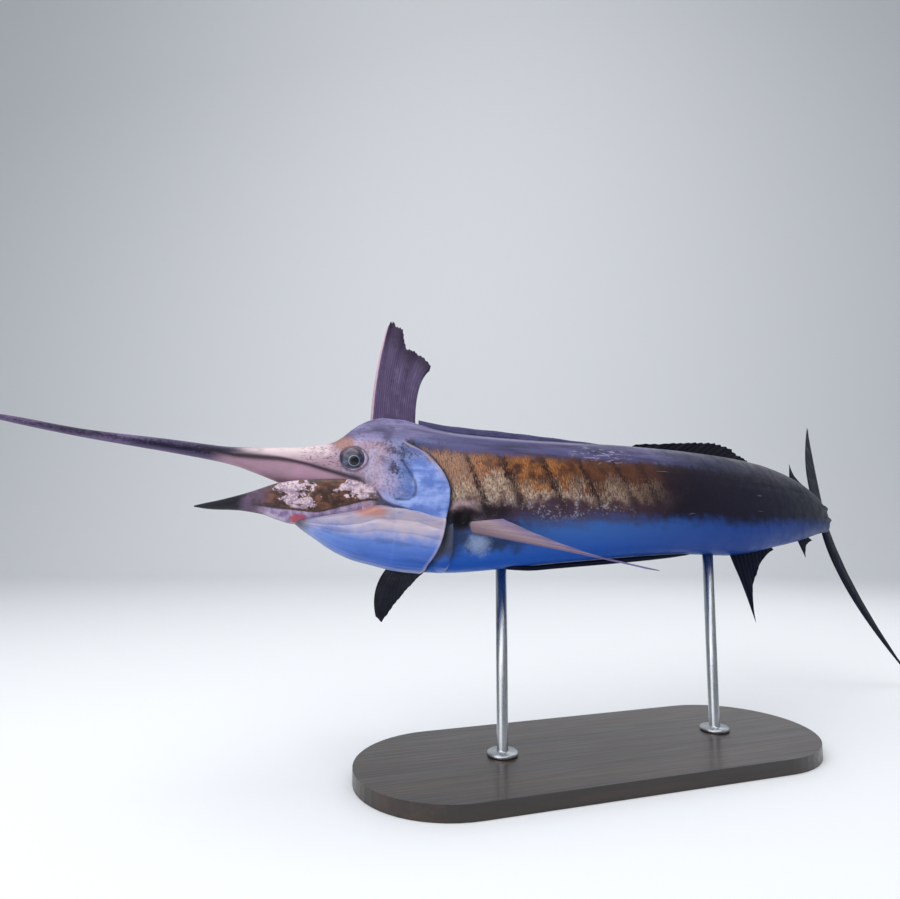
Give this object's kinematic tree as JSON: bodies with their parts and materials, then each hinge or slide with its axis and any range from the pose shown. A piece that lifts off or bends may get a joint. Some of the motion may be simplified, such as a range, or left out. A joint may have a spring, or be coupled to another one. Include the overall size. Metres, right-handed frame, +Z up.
{
  "type": "sailfish museum model on stand",
  "caption": "Life-size sailfish, mouth open, sail mostly folded, banking and bending its tail away, held on rods over a flat base.",
  "frame": {"origin": "middle of the underside of the whole model's box, on the floor", "axes": "+X towards the tail, -Y towards the fish's left side, +Z up"},
  "size_m": [2.091, 1.1064, 0.8907],
  "materials": {
    "bill": "dry skin and bone, purple grey",
    "head": "wet skin, silver blue with a dark top",
    "jaw": "worn brown skin with a dark tip",
    "belly": "wet skin, pale blue",
    "flank": "wet skin, bronze with dark bars and a slate back",
    "eye": "clear and glossy, dark",
    "fin": "dark fin skin over rays",
    "pale_fin": "pinkish tan fin skin over rays",
    "base": "dark stained board",
    "rod": "satin steel"
  },
  "bodies": {
    "root": {"bill": "bill", "head": "head", "lower_jaw": "jaw", "throat": "belly", "body_front": "flank", "body_middle": "flank", "body_rear": "flank", "tail_stalk": "flank", "eye_left": "eye", "eye_right": "eye", "dorsal_fin_front": "fin", "dorsal_fin_folded": "fin", "dorsal_fin_rear": "fin", "second_dorsal_fin": "fin", "anal_fin": "fin", "second_anal_fin": "fin", "caudal_fin_upper": "fin", "caudal_fin_lower": "fin", "pectoral_fin_left": "pale_fin", "pectoral_fin_right": "fin", "pelvic_fin_left": "fin", "pelvic_fin_right": "fin", "stand_base": "base", "stand_rod_front": "rod", "stand_rod_rear": "rod"}
  },
  "joints": []
}
